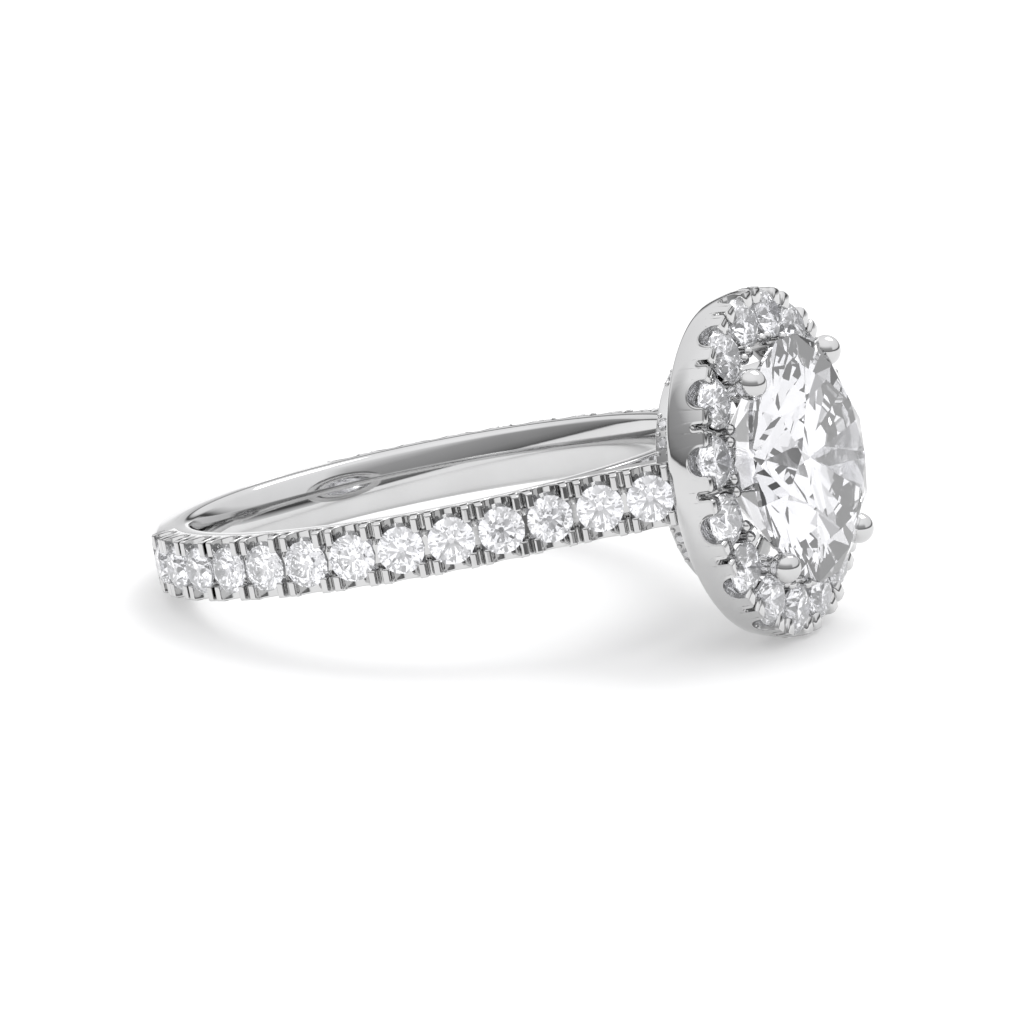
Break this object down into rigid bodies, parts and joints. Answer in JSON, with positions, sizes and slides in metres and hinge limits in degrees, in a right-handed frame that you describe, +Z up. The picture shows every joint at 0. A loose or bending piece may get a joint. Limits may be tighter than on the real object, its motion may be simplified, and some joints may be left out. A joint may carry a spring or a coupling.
{
  "type": "halo ring",
  "caption": "Finger ring with a round centre stone on four claws, a round halo of small stones and a stone-set band, lying on its side.",
  "frame": {"origin": "centre of the finger hole, half-way along the band's width", "axes": "+X from the finger hole towards the head and level with the surface that the ring lies on, +Y across the head, +Z up, away from that surface"},
  "size_m": [0.0248, 0.0202, 0.0115],
  "materials": {
    "white_metal": "mirror-polished white gold",
    "stone": "clear brilliant-cut gemstone"
  },
  "bodies": {
    "root": {"mount": "white_metal", "centre_stone": "stone", "collar_stones": "stone", "halo_stone_1": "stone", "halo_stone_2": "stone", "halo_stone_3": "stone", "halo_stone_4": "stone", "halo_stone_5": "stone", "halo_stone_6": "stone", "halo_stone_7": "stone", "halo_stone_8": "stone", "halo_stone_9": "stone", "halo_stone_10": "stone", "halo_stone_11": "stone", "halo_stone_12": "stone", "halo_stone_13": "stone", "halo_stone_14": "stone", "halo_stone_15": "stone", "halo_stone_16": "stone", "band_stone_near_1": "stone", "band_stone_near_2": "stone", "band_stone_near_3": "stone", "band_stone_near_4": "stone", "band_stone_near_5": "stone", "band_stone_near_6": "stone", "band_stone_near_7": "stone", "band_stone_near_8": "stone", "band_stone_near_9": "stone", "band_stone_near_10": "stone", "band_stone_near_11": "stone", "band_stone_near_12": "stone", "band_stone_near_13": "stone", "band_stone_far_1": "stone", "band_stone_far_2": "stone", "band_stone_far_3": "stone", "band_stone_far_4": "stone", "band_stone_far_5": "stone", "band_stone_far_6": "stone", "band_stone_far_7": "stone", "band_stone_far_8": "stone", "band_stone_far_9": "stone", "band_stone_far_10": "stone", "band_stone_far_11": "stone", "band_stone_far_12": "stone", "band_stone_far_13": "stone"}
  },
  "joints": []
}
